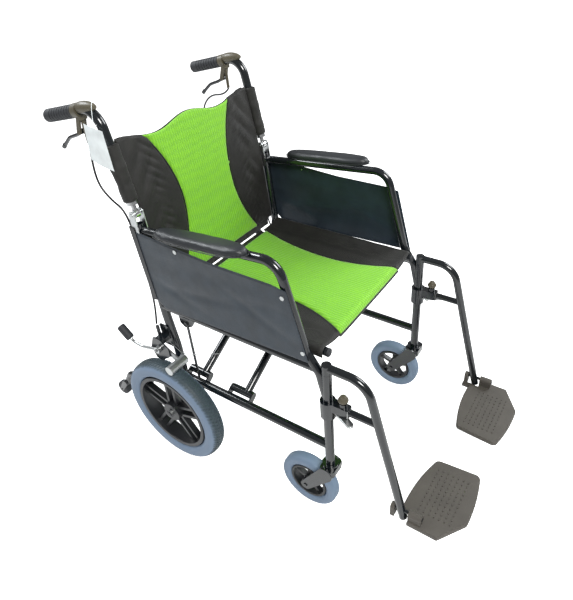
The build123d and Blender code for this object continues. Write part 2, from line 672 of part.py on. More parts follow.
for knuckle_from, knuckle_to in KNUCKLES:
    knuckle_parts.append(bar([side(knuckle_from, FOOT_PIN_Z), side(knuckle_to, FOOT_PIN_Z)], 9))
    knuckle_parts.append(
        plate(
            [(knuckle_from, FOOT_PIN_Z), (knuckle_to, FOOT_PIN_Z), (knuckle_to, 108), (knuckle_from, 108)],
            FRAME_X - 8.5,
            FRAME_X + 8.5,
        )
    )
EAR_TOP = PLATE_TOP_Z - 1
rear_ear = plate([(-157, 108), (-184, 108), (-184, EAR_TOP), (-157, EAR_TOP)], -226, -214)
rear_root = plate([(-157, 108), (-166.5, 108), (-166.5, EAR_TOP), (-157, EAR_TOP)], -232, -220)
foot_bore = bar([side(-150, FOOT_PIN_Z), side(-240, FOOT_PIN_Z)], FOOT_PIN_R + RUN)
with BuildPart() as tread_ribs:
    with BuildSketch(Plane.XY.offset(PLATE_TOP_Z - 0.5)):
        with Locations((-146, behind(-245))):
            with GridLocations(TREAD_STEP, TREAD_STEP, 11, 7):
                SlotOverall(7, 3)
    extrude(amount=2)
with BuildPart() as footplate_whole:
    add(plate_body)
    for knuckle_part in (*knuckle_parts, rear_ear, rear_root, tread_ribs.part):
        add(knuckle_part)
    add(foot_bore, mode=Mode.SUBTRACT)
write_pair(footplate_whole.part, "footplate")

# ---- cross braces with the seat rails, and the bolts where they cross -----------------------------------
RAIL_BACK = (14.0, 450.0)
CROSS_Z = BRACE_FOOT[1] + (RAIL_Z - BRACE_FOOT[1]) * -BRACE_FOOT[0] / (RAIL_X - BRACE_FOOT[0])


def brace(start, tubes):
    """One brace: its foot sleeve at side start (-1 right, 1 left), two tubes and the far seat rail."""
    foot_x, rail_x = start * -BRACE_FOOT[0], -start * RAIL_X
    sleeves = []
    bores = []
    for pin_start, pin_end in BRACE_PINS:
        low, high = pin_start + PIN_PLATE + 1, pin_end - PIN_PLATE - 1
        sleeves.append(bar([side(low, BRACE_FOOT[1], foot_x), side(high, BRACE_FOOT[1], foot_x)], SLEEVE_R))
        bores.append(bar([side(low - 1, BRACE_FOOT[1], foot_x), side(high + 1, BRACE_FOOT[1], foot_x)], BRACE_PIN_R + RUN))
    rail = bar([side(RAIL_BACK[0], RAIL_Z, rail_x), side(RAIL_BACK[1], RAIL_Z, rail_x)], RAIL_R)
    rail_core = bar([side(RAIL_BACK[0] - 1, RAIL_Z, rail_x), side(RAIL_BACK[1] + 1, RAIL_Z, rail_x)], RAIL_R - WALL)
    foot_inset = 14 / math.hypot(rail_x - foot_x, RAIL_Z - BRACE_FOOT[1])
    core_x = foot_x + (rail_x - foot_x) * foot_inset
    core_z = BRACE_FOOT[1] + (RAIL_Z - BRACE_FOOT[1]) * foot_inset
    tube_bars = [bar([side(d, BRACE_FOOT[1], foot_x), side(d, RAIL_Z, rail_x)], BRACE_R) for d in tubes]
    tube_cores = [bar([side(d, core_z, core_x), side(d, RAIL_Z, rail_x)], BRACE_R - WALL) for d in tubes]
    with BuildPart() as whole:
        for piece in (*sleeves, rail, *tube_bars):
            add(piece)
        for piece in (*bores, rail_core, *tube_cores):
            add(piece, mode=Mode.SUBTRACT)
    return whole.part


cross_bolts = [
    bar([side(d - 13, CROSS_Z, 0), side(d + 38, CROSS_Z, 0)], CROSS_BOLT_R) for d in RIGHT_BRACE_BACK
]
bolt_holes = [
    bar([side(d - 20, CROSS_Z, 0), side(d + 20, CROSS_Z, 0)], CROSS_BOLT_R + RUN) for d in LEFT_BRACE_BACK
]
with BuildPart() as right_brace:
    add(brace(-1, RIGHT_BRACE_BACK))
    for bolt in cross_bolts:
        add(bolt)
write(right_brace.part, "right_brace")
with BuildPart() as left_brace:
    add(brace(1, LEFT_BRACE_BACK))
    for hole in bolt_holes:
        add(hole, mode=Mode.SUBTRACT)
write(left_brace.part, "left_brace")

# ---- seat sling and back upholstery ------------------------------------------------------------------
SEAT_Z = (RAIL_Z + RAIL_R + 0.4, RAIL_Z + RAIL_R + 4.6)
with BuildPart() as seat_sling:
    with BuildSketch(Plane.XY.offset(SEAT_Z[0])):
        with Locations((0, behind(231))):
            RectangleRounded(2 * RAIL_X + 26, 430, 12)
    extrude(amount=SEAT_Z[1] - SEAT_Z[0])
write(seat_sling.part, "seat_sling")

BACK_TOP = 157.0      # upholstery height over the folding pivot, along the post
BACK_HALF_WIDTH = 221.0
top_back = PIVOT_BACK + BACK_TOP * math.sin(BACK_LEAN)
top_z = PIVOT_Z + BACK_TOP * math.cos(BACK_LEAN)
upholstery = plate(
    [
        (PIVOT_BACK - 2, PIVOT_Z),
        (top_back - 2, top_z),
        (top_back + 2, top_z),
        (PIVOT_BACK + 2, PIVOT_Z),
        (473.5, 492),
        (469.5, 492),
    ],
    -BACK_HALF_WIDTH,
    BACK_HALF_WIDTH,
)
write(upholstery, "back_upholstery")
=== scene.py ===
"""The looks of a folding transport wheelchair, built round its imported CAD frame.

Metres throughout. The chair faces -Y, +Z is up and the sitter's right side is at -X. Right-hand pieces
are made at negative X, and a left-hand twin is the same piece with X turned round.
"""

import math

import bmesh
import bpy
import numpy as np
from mathutils import Matrix, Vector


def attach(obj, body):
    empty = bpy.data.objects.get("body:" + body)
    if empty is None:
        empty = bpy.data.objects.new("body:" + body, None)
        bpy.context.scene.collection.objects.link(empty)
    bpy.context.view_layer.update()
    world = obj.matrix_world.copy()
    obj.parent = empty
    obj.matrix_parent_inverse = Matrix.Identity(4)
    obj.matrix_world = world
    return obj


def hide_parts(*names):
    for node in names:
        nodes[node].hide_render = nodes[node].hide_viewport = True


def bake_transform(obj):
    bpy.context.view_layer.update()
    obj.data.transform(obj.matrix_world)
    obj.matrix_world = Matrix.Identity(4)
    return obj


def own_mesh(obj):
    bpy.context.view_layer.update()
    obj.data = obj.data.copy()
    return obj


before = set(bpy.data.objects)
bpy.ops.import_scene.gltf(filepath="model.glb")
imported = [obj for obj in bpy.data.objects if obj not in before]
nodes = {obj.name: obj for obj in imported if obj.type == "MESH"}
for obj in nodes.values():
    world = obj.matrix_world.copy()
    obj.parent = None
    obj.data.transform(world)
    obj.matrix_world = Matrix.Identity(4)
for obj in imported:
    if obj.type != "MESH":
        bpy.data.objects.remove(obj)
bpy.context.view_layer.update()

# ---- places shared with the frame -------------------------------------------------------------------
MM = 0.001
FRONT_POST_Y = -0.231
RAIL_X, RAIL_Z, RAIL_R = 0.207, 0.482, 0.0095
PIVOT_BACK, PIVOT_Z = 489.0, 0.705
BACK_LEAN = math.radians(11.7)
SIDES = (("right", -1), ("left", 1))


def at(x, distance, z):
    """A point in metres: x and z in millimetres, distance in millimetres behind the front posts."""
    return Vector((x * MM, FRONT_POST_Y + distance * MM, z * MM))


# ---- materials ------------------------------------------------------------------------------------------


class Finish:
    """A procedural material whose textures use the row frame's own coordinates."""

    def __init__(self, name, colour, roughness, **sockets):
        self.mat = bpy.data.materials.new(name)
        self.mat.use_nodes = True
        self.tree = self.mat.node_tree
        self.shader = self.tree.nodes["Principled BSDF"]
        self.shader.inputs["Base Color"].default_value = (*colour, 1)
        self.shader.inputs["Roughness"].default_value = roughness
        for socket, value in sockets.items():
            self.shader.inputs[socket.replace("_", " ")].default_value = value
        self.coords = self.tree.nodes.new("ShaderNodeTexCoord").outputs["Object"]
        self.height = None

    def node(self, kind, inputs=None, **settings):
        made = self.tree.nodes.new("ShaderNode" + kind)
        for key, value in settings.items():
            setattr(made, key, value)
        for key, value in (inputs or {}).items():
            if isinstance(value, bpy.types.NodeSocket):
                self.tree.links.new(value, made.inputs[key])
            else:
                made.inputs[key].default_value = value
        return made

    def stretched(self, scale, turn=(0, 0, 0)):
        return self.node("Mapping", {"Vector": self.coords, "Scale": scale, "Rotation": turn}).outputs[0]

    def noise(self, scale, detail=3.0, vector=None):
        made = self.node("TexNoise", {"Vector": vector or self.coords, "Scale": scale, "Detail": detail})
        return made.outputs["Fac"]

    def ramp(self, factor, low, high):
        return self.node("MapRange", {"Value": factor, "From Min": low, "From Max": high}).outputs[0]

    def math(self, operation, a, b):
        return self.node("Math", {0: a, 1: b}, operation=operation).outputs[0]

    def colour_between(self, factor, one, other):
        mix = self.node("Mix", {"Factor": factor}, data_type="RGBA")
        for socket, value in ((mix.inputs[6], one), (mix.inputs[7], other)):
            if isinstance(value, bpy.types.NodeSocket):
                self.tree.links.new(value, socket)
            else:
                socket.default_value = (*value, 1)
        self.tree.links.new(mix.outputs[2], self.shader.inputs["Base Color"])
        return mix.outputs[2]

    def roughness_between(self, factor, low, high):
        spread = self.node("MapRange", {"Value": factor, "To Min": low, "To Max": high}).outputs[0]
        self.tree.links.new(spread, self.shader.inputs["Roughness"])

    def bump(self, height, strength, distance):
        made = self.node("Bump", {"Height": height, "Strength": strength, "Distance": distance})
        if self.height:
            self.tree.links.new(self.height, made.inputs["Normal"])
        self.height = made.outputs[0]
        self.tree.links.new(self.height, self.shader.inputs["Normal"])


def painted_tube():
    finish = Finish("gloss_black_paint", (0.01, 0.012, 0.014), 0.16, Coat_Weight=0.6, Coat_Roughness=0.06)
    dust = finish.ramp(finish.noise(14.0), 0.42, 0.75)
    finish.colour_between(dust, (0.003, 0.005, 0.007), (0.008, 0.011, 0.014))
    finish.roughness_between(finish.noise(60.0, 5.0), 0.1, 0.26)
    finish.bump(finish.noise(420.0, 1.0), 0.05, 0.0004)
    return finish.mat


def bare_metal(name, colour, low, high, grain):
    finish = Finish(name, colour, low, Metallic=1.0)
    scratches = finish.noise(90.0, 6.0, finish.stretched(grain))
    lighter, darker = [c * 1.12 for c in colour], [c * 0.72 for c in colour]
    finish.colour_between(finish.noise(45.0, 4.0), darker, lighter)
    finish.roughness_between(scratches, low, high)
    finish.bump(scratches, 0.12, 0.0002)
    return finish.mat


def moulded(name, colour, roughness, grain=900.0, depth=0.25):
    finish = Finish(name, colour, roughness)
    cloud = finish.noise(30.0)
    finish.colour_between(cloud, [c * 0.8 for c in colour], [c * 1.35 for c in colour])
    finish.roughness_between(finish.noise(120.0), roughness - 0.07, roughness + 0.1)
    finish.bump(finish.noise(grain, 2.0), depth, 0.0003)
    return finish.mat


def woven(name, dark, light, pitch, roughness=0.62, sheen=0.35, across=(1, 0, 0), depth=0.5):
    """Plain weave: two crossed sets of threads of one pitch, with cloudy wear over them."""
    finish = Finish(name, dark, roughness, Sheen_Weight=sheen, Sheen_Roughness=0.45)
    scale = 2 * math.pi / pitch / 20
    threads = [
        finish.node("TexWave", {"Vector": finish.coords, "Scale": scale}, bands_direction=way).outputs["Fac"]
        for way in (("X", "Z") if across[0] else ("Y", "Z"))
    ]
    weave = finish.math("MULTIPLY", *threads)
    faded_weave = finish.math("MULTIPLY", weave, 0.35)
    cloud = finish.math("ADD", faded_weave, finish.ramp(finish.noise(22.0, 5.0), 0.3, 0.85))
    finish.colour_between(cloud, dark, light)
    finish.roughness_between(finish.noise(40.0), roughness - 0.1, roughness + 0.12)
    finish.bump(weave, depth, 0.0003)
    finish.bump(finish.noise(60.0, 4.0), 0.25, 0.0008)
    return finish.mat


def spacer_mesh():
    """Bright knitted spacer cloth: rows of small open cells that run up the panel in wavy ribs."""
    finish = Finish("green_spacer_mesh", (0.26, 0.74, 0.02), 0.6, Sheen_Weight=0.25, Sheen_Roughness=0.5)
    drift = finish.node("TexNoise", {"Vector": finish.coords, "Scale": 26.0, "Detail": 2.0}).outputs["Color"]
    bent = finish.node("VectorMath", {0: drift, 1: (0.006, 0.003, 0.003)}, operation="MULTIPLY").outputs[0]
    moved = finish.node("VectorMath", {0: finish.coords, 1: bent}, operation="ADD").outputs[0]
    cell_values = {"Vector": moved, "Scale": 300.0, "Randomness": 0.35}
    cells = finish.node("TexVoronoi", cell_values).outputs["Distance"]
    hole = finish.ramp(cells, 0.15, 0.5)
    rib_values = {"Vector": moved, "Scale": 45.0, "Distortion": 1.4, "Detail": 1.0}
    ribs = finish.node("TexWave", rib_values).outputs["Fac"]
    # The middles of the cells and the hollows between the wavy ribs are painted darker, following the bump's
    # low places: painted shade in the mesh's holes and grooves, with a cloudy tone over it.
    shade = finish.math("ADD", finish.math("MULTIPLY", hole, 0.5), finish.math("MULTIPLY", ribs, 0.42))
    cloud = finish.math("ADD", shade, finish.math("MULTIPLY", finish.noise(9.0), 0.25))
    finish.colour_between(finish.ramp(cloud, 0.1, 1.1), (0.10, 0.38, 0.004), (0.24, 0.60, 0.016))
    finish.bump(hole, 0.55, 0.0009)
    finish.bump(ribs, 0.5, 0.0011)
    return finish.mat


def tyre_rubber(name, centre, radius, tread_depth, tread=(0.045, 0.068, 0.082)):
    """Blue-grey sidewalls that turn to worn rubber of the given colour over the tread."""
    finish = Finish(name, (0.13, 0.22, 0.36), 0.55)
    offset = finish.node("VectorMath", {0: finish.coords, 1: centre}, operation="SUBTRACT").outputs[0]
    flat = finish.node("VectorMath", {0: offset, 1: (0, 1, 1)}, operation="MULTIPLY").outputs[0]
    distance = finish.node("VectorMath", {0: flat}, operation="LENGTH").outputs["Value"]
    wobble = finish.math("MULTIPLY", finish.math("SUBTRACT", finish.noise(120.0, 4.0), 0.5), 0.004)
    tread_foot = radius - tread_depth
    worn = finish.ramp(finish.math("ADD", distance, wobble), tread_foot - 0.004, tread_foot + 0.001)
    side = finish.noise(25.0, 4.0)
    sidewall = finish.node("Mix", {"Factor": side}, data_type="RGBA")
    sidewall.inputs[6].default_value = (0.13, 0.185, 0.27, 1)
    sidewall.inputs[7].default_value = (0.18, 0.245, 0.34, 1)
    finish.colour_between(worn, sidewall.outputs[2], tread)
    finish.roughness_between(side, 0.42, 0.68)
    finish.bump(finish.noise(700.0, 2.0), 0.2, 0.0003)
    return finish.mat


def padded_cover():
    finish = Finish("black_cover", (0.018, 0.02, 0.023), 0.42)
    grain = finish.node("TexVoronoi", {"Vector": finish.coords, "Scale": 620.0}).outputs["Distance"]
    finish.colour_between(finish.noise(18.0), (0.012, 0.014, 0.017), (0.03, 0.033, 0.037))
    finish.roughness_between(finish.noise(50.0, 4.0), 0.33, 0.52)
    finish.bump(grain, 0.22, 0.0005)
    return finish.mat


paint = painted_tube()
zinc = bare_metal("zinc_plate", (0.6, 0.62, 0.62), 0.24, 0.42, (1, 6, 1))
chrome = bare_metal("bright_tube", (0.78, 0.79, 0.8), 0.08, 0.2, (1, 1, 5))
rim_plastic = moulded("black_plastic", (0.012, 0.013, 0.015), 0.3, 1400.0, 0.12)
foot_plastic = moulded("footplate_plastic", (0.075, 0.068, 0.058), 0.58, 700.0, 0.4)
olive_plastic = moulded("olive_plastic", (0.085, 0.075, 0.05), 0.4)
grip_rubber = moulded("grip_rubber", (0.022, 0.024, 0.028), 0.62, 1100.0, 0.4)
cable_skin = moulded("cable_skin", (0.012, 0.012, 0.013), 0.38)
nylon = woven("black_nylon", (0.0045, 0.0043, 0.0036), (0.015, 0.0142, 0.012), 0.0011, 0.6, 0.08)
guard_cloth = woven(
    "guard_cloth",
    (0.007, 0.014, 0.023),
    (0.017, 0.031, 0.048),
    pitch=0.0013,
    roughness=0.44,
    sheen=0.12,
    across=(0, 1, 0),
    depth=0.3,
)
mesh_cloth = spacer_mesh()
cover = padded_cover()

PAINTED = (
    *("side_frame", "stay_rod", "caster_fork", "back_post"),
    *("hand_lever", "parking_bracket", "anti_tip_arm", "hanger_tube", "hanger_clamp"),
)
PLATED = ("frame_fasteners", "hinge_lower", "parking_lever", "parking_shoe", "hanger_latch")
NODE_FINISH = {
    **{part: paint for part in PAINTED},
    **{part: zinc for part in PLATED},
    "hinge_upper": chrome,
    "rear_rim": rim_plastic,
    "caster_rim": rim_plastic,
    "push_grip": grip_rubber,
    "parking_grip": grip_rubber,
    "anti_tip_wheel": grip_rubber,
    "brake_mount": olive_plastic,
    "hanger_knob": olive_plastic,
    "footplate": foot_plastic,
    "brake_cable": cable_skin,
}


def dress(obj, mat):
    """One material over a whole object."""
    obj.data.materials.clear()
    obj.data.materials.append(mat)


for node_name, node_object in nodes.items():
    part_name = node_name.split("_", 1)[1]
    dress(node_object, NODE_FINISH.get(part_name, paint))

AXLE = {"rear": (449.0, 155.0), "caster": (59.0, 76.0)}
for side_name, sign in SIDES:
    caster_centre = at(sign * 237, *AXLE["caster"])
    rubber = tyre_rubber(f"{side_name}_caster_rubber", caster_centre, 0.076, 0.006, (0.14, 0.2, 0.28))
    dress(nodes[f"{side_name}_caster_tyre"], rubber)


# ---- mesh helpers -------------------------------------------------------------------------------------


def new_object(name, verts, faces, mat, smooth=True):
    mesh = bpy.data.meshes.new(name)
    mesh.from_pydata([tuple(v) for v in verts], [], faces)
    mesh.validate()
    shape = bmesh.new()
    shape.from_mesh(mesh)
    bmesh.ops.recalc_face_normals(shape, faces=shape.faces)
    shape.to_mesh(mesh)
    shape.free()
    if smooth:
        mesh.shade_smooth()
        mesh.set_sharp_from_angle(angle=math.radians(50))
    obj = bpy.data.objects.new(name, mesh)
    bpy.context.scene.collection.objects.link(obj)
    dress(obj, mat)
    return obj


def mirrored(obj, name):
    """The left-hand twin of a right-hand piece."""
    twin = obj.copy()
    twin.data = obj.data.copy()
    twin.name = name
    bpy.context.scene.collection.objects.link(twin)
    twin.data.transform(Matrix.Scale(-1, 4, (1, 0, 0)))
    twin.data.flip_normals()
    return twin


def rounded(distance, reach):
    """Share of the full thickness this far in from an edge that rounds off over reach."""
    inside = np.clip(distance / reach, 0, 1)
    return np.sqrt(np.clip(1 - (1 - inside) ** 2, 0, 1))


def cloth(name, points, thickness, mat, reach=0.005, soft=(1, 1, 1, 1), bulge=None):
    """A closed cloth round the middle surface points[row][column]. The sides named in soft, which are the
    first and last row and the first and last column, round off; the others end square."""
    mid = np.array(points, float)
    normal = np.cross(np.gradient(mid, axis=0), np.gradient(mid, axis=1))
    normal /= np.linalg.norm(normal, axis=2, keepdims=True)
    rows, columns = mid.shape[:2]
    along = np.concatenate([[0], np.cumsum(np.linalg.norm(np.diff(mid, axis=0), axis=2).mean(1))])
    across = np.concatenate([[0], np.cumsum(np.linalg.norm(np.diff(mid, axis=1), axis=2).mean(0))])
    half = np.ones((rows, columns))
    gaps = (along[:, None], (along[-1] - along)[:, None], across[None], (across[-1] - across)[None])
    for use, gap in zip(soft, gaps):
        if use:
            half = half * rounded(gap, reach)
    half = np.maximum(half, 0.08) * thickness / 2
    upper, lower = half.copy(), half.copy()
    if bulge is not None:
        upper += bulge
    top_side, under_side = mid + normal * upper[..., None], mid - normal * lower[..., None]
    verts = [*top_side.reshape(-1, 3), *under_side.reshape(-1, 3)]
    count, faces = rows * columns, []
    for r in range(rows - 1):
        for c in range(columns - 1):
            a = r * columns + c
            b, d = a + 1, a + columns
            faces.append((a, b, d + 1, d))
            faces.append((count + a, count + d, count + d + 1, count + b))
    edge = [r * columns for r in range(rows)]
    edge += [(rows - 1) * columns + c for c in range(1, columns)]
    edge += [r * columns + columns - 1 for r in range(rows - 2, -1, -1)]
    edge += [c for c in range(columns - 2, 0, -1)]
    for a, b in zip(edge, [*edge[1:], edge[0]]):
        faces.append((a, b, count + b, count + a))
    return new_object(name, verts, faces, mat)


def lofted(name, rings, mat, capped=True):
    """A skin over rings of points, closed at both ends."""
    size, verts, faces = len(rings[0]), [p for ring in rings for p in ring], []
    for r in range(len(rings) - 1):
        for c in range(size):
            d = (c + 1) % size
            faces.append((r * size + c, r * size + d, (r + 1) * size + d, (r + 1) * size + c))
    if capped:
        faces.append(tuple(range(size)))
        faces.append(tuple((len(rings) - 1) * size + c for c in range(size)))
    return new_object(name, verts, faces, mat)


def tube(name, points, radius, mat, smooth_line=True, resolution=6):
    """A round cord or piping along points, as a mesh."""
    curve = bpy.data.curves.new(name, "CURVE")
    curve.dimensions = "3D"
    line = curve.splines.new("NURBS" if smooth_line else "POLY")
    line.points.add(len(points) - 1)
    for point, place in zip(line.points, points):
        point.co = (*place, 1)
    if smooth_line:
        line.order_u = 3
        line.use_endpoint_u = True
        line.resolution_u = resolution
    curve.bevel_depth = radius
    curve.bevel_resolution = 3
    curve.use_fill_caps = True
    holder = bpy.data.objects.new(name, curve)
    bpy.context.scene.collection.objects.link(holder)
    bpy.context.view_layer.update()
    mesh = bpy.data.meshes.new_from_object(holder.evaluated_get(bpy.context.evaluated_depsgraph_get()))
    bpy.data.objects.remove(holder)
    obj = bpy.data.objects.new(name, mesh)
    bpy.context.scene.collection.objects.link(obj)
    dress(obj, mat)
    mesh.shade_smooth()
    return obj


def centreline(points, count=200):
    """Points along the clamped quadratic spline that tube() follows."""
    knots = [0, 0, *range(len(points) - 1), len(points) - 2, len(points) - 2]

    def weight(i, degree, t):
        if degree == 0:
            return 1.0 if knots[i] <= t < knots[i + 1] else 0.0
        rising, falling = knots[i + degree] - knots[i], knots[i + degree + 1] - knots[i + 1]
        total = 0.0
        if rising > 0:
            total += (t - knots[i]) / rising * weight(i, degree - 1, t)
        if falling > 0:
            total += (knots[i + degree + 1] - t) / falling * weight(i + 1, degree - 1, t)
        return total

    line = []
    for t in np.linspace(0, len(points) - 2 - 1e-9, count):
        line.append(sum((Vector(p) * weight(i, 2, t) for i, p in enumerate(points)), Vector((0, 0, 0))))
    return line


def dome(name, centre, radius, height, direction, mat):
    """A low round cap, such as a plug or a screw head, whose flat side is at centre."""
    turn = Vector(direction).to_track_quat("Z", "Y").to_matrix()
    rings = []
    outline = ((0.82, 0.0), (1.0, 0.12), (1.0, 0.45), (0.93, 0.75), (0.7, 0.94), (0.35, 1.0), (0.04, 1.01))
    for out, up in outline:
        ring = [
            centre + turn @ Vector((out * radius * math.cos(a), out * radius * math.sin(a), up * height))
            for a in np.linspace(0, 2 * math.pi, 28, endpoint=False)
        ]
        rings.append(ring)
    return lofted(name, rings, mat)


def stitches(name, line, mat, pitch=0.0042, length=0.0026, radius=0.00032, lift=0.0):
    """A row of short threads along a line of points."""
    verts, faces, carried = [], [], 0.0
    for start, end in zip(line, line[1:]):
        way = end - start
        while carried < way.length:
            here = start + way.normalized() * carried
            tip = here + way.normalized() * length
            upright = abs(way.normalized().z) >= 0.9
            side = Vector((radius, 0, 0)) if upright else way.cross(Vector((0, 0, 1))).normalized() * radius
            top = way.cross(side).normalized() * (radius + lift)
            base = len(verts)
            for end_point in (here, tip):
                verts += [end_point + side, end_point + top, end_point - side, end_point - top]
            faces += [(base + k, base + (k + 1) % 4, base + 4 + (k + 1) % 4, base + 4 + k) for k in range(4)]
            faces += [(base, base + 1, base + 2, base + 3), (base + 4, base + 5, base + 6, base + 7)]
            carried += pitch
        carried -= way.length
    return new_object(name, verts, faces, mat, smooth=False)


# ---- seat: two cloth halves that meet in the middle, each hung from its own rail ------------------------
SEAT_FRONT, SEAT_REAR = 20.0, 444.0
GREEN_FRONT, GREEN_REAR = 21.0, 431.0
SEAT_SAG = 0.009
SEAT_THICK = 0.006
GREEN_THICK = 0.014
WRAP_R = RAIL_R + 0.0032


def seat_half_width(distance):
    """Half the green panel's width: waisted towards the middle of the seat."""
    return (98 + 50 * ((distance - 200) / (182 if distance < 200 else 243)) ** 2) * MM


def seat_profile(reach):
    """(x, z) on the right half of the seat, reach metres out from the middle along the cloth."""
    if reach <= RAIL_X:
        return -reach, RAIL_Z + WRAP_R - SEAT_SAG * (1 - (reach / RAIL_X) ** 9)
    turn = min((reach - RAIL_X) / WRAP_R, math.pi / 2)
    drop = reach - RAIL_X - WRAP_R * math.pi / 2
    return -RAIL_X - WRAP_R * math.sin(turn), RAIL_Z + WRAP_R * math.cos(turn) - max(drop, 0)


def seat_panel(name, inner, outer, mat, soft, thickness=SEAT_THICK, ends=(SEAT_FRONT, SEAT_REAR)):
    """Part of the right half of the seat, between two reaches given as functions of the distance."""
    points = []
    for distance in np.linspace(*ends, 90):
        row = []
        for share in np.linspace(0, 1, 34):
            reach = inner(distance) * (1 - share) + outer(distance) * share
            x, z = seat_profile(reach)
            dip = 0.006 * math.exp(-(((distance - ends[0]) / 9) ** 2)) * (1 - min(abs(x) / RAIL_X, 1) ** 4)
            pucker = 0.0009 * math.sin(distance / 9.0 + x * 70) * max(0, 1 - abs(abs(x) - 0.19) / 0.035)
            row.append((x, FRONT_POST_Y + distance * MM, z - dip + pucker))
        points.append(row)
    panel = cloth(name, points, thickness, mat, reach=min(thickness * 0.7, 0.009), soft=soft)
    return panel


def hang_from_rail(piece, sign):
    """The right half's rail is on the left brace and the other way round; the cloth folds to a V."""
    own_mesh(piece)
    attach(piece, "left_brace" if sign < 0 else "right_brace")


seat_green = seat_panel(
    "right_seat_mesh",
    lambda d: 0.0,
    seat_half_width,
    mesh_cloth,
    (1, 1, 0, 1),
    GREEN_THICK,
    (GREEN_FRONT, GREEN_REAR),
)
seat_black = seat_panel(
    "right_seat_side",
    lambda d: seat_half_width(d) - 0.004,
    lambda d: RAIL_X + WRAP_R * math.pi / 2 + 0.009,
    nylon,
    (1, 1, 1, 1),
)
seat_hem = seat_panel(
    "right_seat_rear_hem",
    lambda d: 0.0,
    lambda d: seat_half_width(GREEN_REAR),
    nylon,
    (1, 1, 0, 1),
    0.005,
    (426.0, 452.0),
)
seat_edge = seat_panel(
    "right_seat_front_hem",
    lambda d: 0.0,
    lambda d: seat_half_width(GREEN_FRONT),
    nylon,
    (1, 1, 0, 1),
    0.004,
    (18.5, 40.0),
)
for hem in (seat_hem, seat_edge):
    hem.data.transform(Matrix.Translation((0, 0, -0.0045)))
seat_line = []
for distance in np.linspace(SEAT_FRONT + 4, SEAT_REAR - 4, 60):
    x, z = seat_profile(seat_half_width(distance) + 0.005)
    seat_line.append(Vector((x, FRONT_POST_Y + distance * MM, z + SEAT_THICK / 2 + 0.0002)))
seat_thread = stitches("right_seat_stitches", seat_line, nylon)
piping_line = []
for distance in np.linspace(GREEN_FRONT + 6, GREEN_REAR - 2, 40):
    x, z = seat_profile(seat_half_width(distance) + 0.0012)
    piping_line.append(Vector((x, FRONT_POST_Y + distance * MM, z + 0.0028)))
seat_piping = tube("right_seat_piping", piping_line, 0.0014, nylon)
for piece in (seat_green, seat_black, seat_hem, seat_edge, seat_thread, seat_piping):
    twin = mirrored(piece, piece.name.replace("right_", "left_"))
    if piece not in (seat_thread, seat_piping):
        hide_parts("seat_sling")
    hang_from_rail(piece, -1)
    hang_from_rail(twin, 1)
for side_name, sign in SIDES:
    for end_name, distance, facing in (("front", 14.0, -1), ("rear", 450.0, 1)):
        plug_place = at(sign * RAIL_X / MM, distance, RAIL_Z / MM)
        plug_name = f"{side_name}_rail_{end_name}_plug"
        plug = dome(plug_name, plug_place, 0.0098, 0.006, (0, facing, 0), grip_rubber)
        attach(plug, "left_brace" if sign < 0 else "right_brace")

# ---- back: a lower cloth on the side frame and an upper cloth on the folding posts -----------------------
LOWER_LEAN = math.atan2(21, 256)
BACK_THICK = 0.011
BACK_EDGE = 0.2225
BACK_BOTTOM = 0.490
SEAM_EASE = 0.04


def back_top(x):
    """Height of the back's top edge: a low hump in the middle and one at each post."""
    return 0.856 + 0.009 * math.cos(2 * math.pi * min(abs(x), 0.214) / 0.214)


def back_half_width(z):
    """Half the green panel's width: waisted, and widest at the top."""
    rise = (z - 0.68) / (0.17 if z > 0.68 else 0.188)
    return 0.091 + (0.055 if z > 0.68 else 0.062) * rise * rise


def back_point(x, z):
    """A point of the back's middle surface, whose slope eases from the lower posts' to the upper's."""
    low, high = math.tan(LOWER_LEAN), math.tan(BACK_LEAN)
    rise = z - PIVOT_Z
    eased = (rise + math.sqrt(rise * rise + SEAM_EASE**2)) / 2
    height_share = min(max((z - BACK_BOTTOM) / 0.37, 0), 1)
    stretch = 0.004 * (1 - (x / BACK_EDGE) ** 2) * math.sin(math.pi * height_share)
    return Vector((x, FRONT_POST_Y + PIVOT_BACK * MM + rise * low + eased * (high - low) + stretch, z))


def back_panel(name, left, right, level, mat, soft, thickness=BACK_THICK, shift=0.0):
    """Cloth between two edges given as x over height. level is "upper" or "lower"."""
    points = []
    for share in np.linspace(0, 1, 74):
        row = []
        for part in np.linspace(0, 1, 36):
            low, high = (PIVOT_Z, PIVOT_Z + 0.15) if level == "upper" else (BACK_BOTTOM, PIVOT_Z)
            guess = low + share * (high - low)
            x = left(guess) * (1 - part) + right(guess) * part
            low, high = (PIVOT_Z, back_top(x)) if level == "upper" else (BACK_BOTTOM, PIVOT_Z)
            z = low + (high - low) * share
            x = left(z) * (1 - part) + right(z) * part
            outer_share = max(0, 1 - abs(abs(x) - 0.175) / 0.05)
            crease = 0.0022 * math.sin(z * 95 + abs(x) * 130 + 0.8 * math.sin(z * 40)) * outer_share
            crease += 0.0012 * math.sin(z * 260 - abs(x) * 210) * max(0, 1 - abs(abs(x) - 0.15) / 0.03)
            crease *= min(abs(z - PIVOT_Z) / 0.03, 1)
            point = back_point(x, z) + Vector((0, crease + shift, 0))
            row.append(point)
        points.append(row)
    panel = cloth(name, points, thickness, mat, reach=0.006, soft=soft)
    return panel


def squeeze_back(piece, level):
    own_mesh(piece)
    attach(piece, "right_back" if level == "upper" else "right_side")


